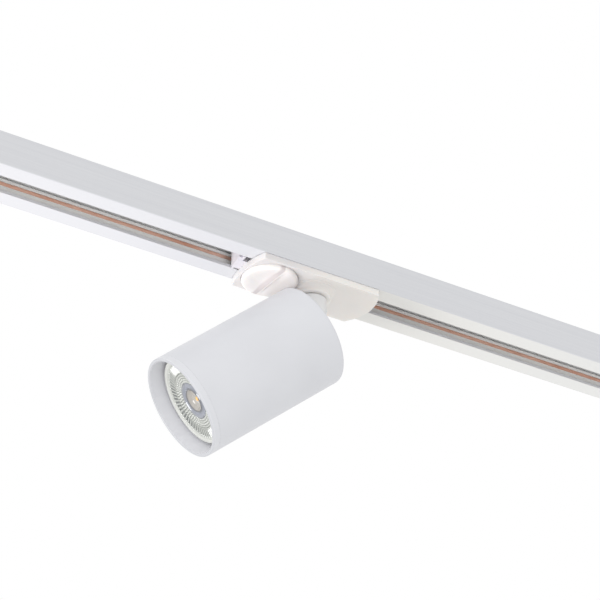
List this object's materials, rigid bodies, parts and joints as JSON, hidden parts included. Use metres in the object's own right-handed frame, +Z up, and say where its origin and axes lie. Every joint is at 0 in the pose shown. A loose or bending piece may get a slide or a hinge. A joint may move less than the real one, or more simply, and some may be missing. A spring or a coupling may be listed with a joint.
{
  "type": "track spotlight",
  "caption": "Tubular lamp head on a pan-and-tilt stem, carried by a locking adapter that slides in a section of lighting track.",
  "frame": {"origin": "on the ceiling face of the track section, at mid width and straight above the pan axis of the stem", "axes": "+X along the track towards the plain end of the adapter, +Z up out of the ceiling face, +Y across the track"},
  "size_m": [0.5088, 0.0792, 0.1279],
  "materials": {
    "track_paint": "satin",
    "insulator_plastic": "matte",
    "copper": "satin",
    "cap_plastic": "satin",
    "cover_plastic": "satin",
    "insert_plastic": "satin",
    "rotor_plastic": "satin",
    "brass": "satin",
    "zinc_steel": "satin",
    "nylon": "matte",
    "lead_silicone": "matte",
    "stem_paint": "satin",
    "head_paint": "satin",
    "ring_paint": "satin",
    "hub_paint": "satin",
    "holder_ceramic": "matte",
    "lamp_plastic": "satin",
    "bezel_plastic": "satin",
    "lens_clear": "gloss",
    "board_metal": "matte",
    "led_phosphor": "satin",
    "driver_laminate": "satin",
    "pin_nickel": "polished"
  },
  "bodies": {
    "track": {"track_profile": "track_paint", "insulator_live": "insulator_plastic", "insulator_neutral": "insulator_plastic", "conductor_live": "copper", "conductor_neutral": "copper", "end_cap_left": "cap_plastic", "end_cap_right": "cap_plastic", "end_cap_screws": "zinc_steel"},
    "adapter": {"adapter_cover": "cover_plastic", "contact_housing": "insert_plastic", "adapter_screws": "zinc_steel", "live_spring_contact": "brass", "neutral_spring_contact": "brass", "earth_spring": "brass", "adapter_leads": "lead_silicone"},
    "lock": {"lock_knob": "cover_plastic", "lock_cam": "zinc_steel", "contact_rotor": "rotor_plastic", "live_blade": "brass", "neutral_blade": "brass", "rotor_screw": "zinc_steel"},
    "stem": {"swivel_stem": "stem_paint", "swivel_washer": "nylon", "swivel_nut": "zinc_steel", "stem_leads": "lead_silicone"},
    "head": {"head_shell": "head_paint", "head_ring": "ring_paint", "hinge_block": "hub_paint", "hinge_block_screws": "zinc_steel", "tilt_screw": "zinc_steel", "tilt_nut": "zinc_steel", "tilt_washers": "nylon", "holder_bracket": "zinc_steel", "bracket_screws": "zinc_steel", "lampholder": "holder_ceramic", "holder_screws": "zinc_steel", "head_leads": "lead_silicone"},
    "lamp": {"lamp_housing": "lamp_plastic", "lamp_bezel": "bezel_plastic", "lamp_lens": "lens_clear", "led_board": "board_metal", "led_package": "led_phosphor", "driver_board": "driver_laminate", "lamp_base": "lamp_plastic", "lamp_pins": "pin_nickel"}
  },
  "joints": [
    {"name": "adapter_slide", "type": "slide", "parent": "track", "child": "adapter", "axis": [1, 0, 0], "range_m": [-0.18, 0.18]},
    {"name": "lock_turn", "type": "hinge", "parent": "adapter", "child": "lock", "pos_m": [-0.0274, 0, -0.0243], "axis": [0, 0, 1], "range_deg": [0, 90]},
    {"name": "pan", "type": "hinge", "parent": "adapter", "child": "stem", "pos_m": [0, 0, -0.029], "axis": [0, 0, 1], "range_deg": [-175, 175]},
    {"name": "tilt", "type": "hinge", "parent": "stem", "child": "head", "pos_m": [0, 0, -0.0508], "axis": [0.3272, 0.9449, 0], "range_deg": [-109, 3]},
    {"name": "lamp_twist", "type": "hinge", "parent": "head", "child": "lamp", "pos_m": [0, 0, -0.0508], "axis": [-0.7547, 0.2613, -0.6018], "range_deg": [0, 28]}
  ]
}
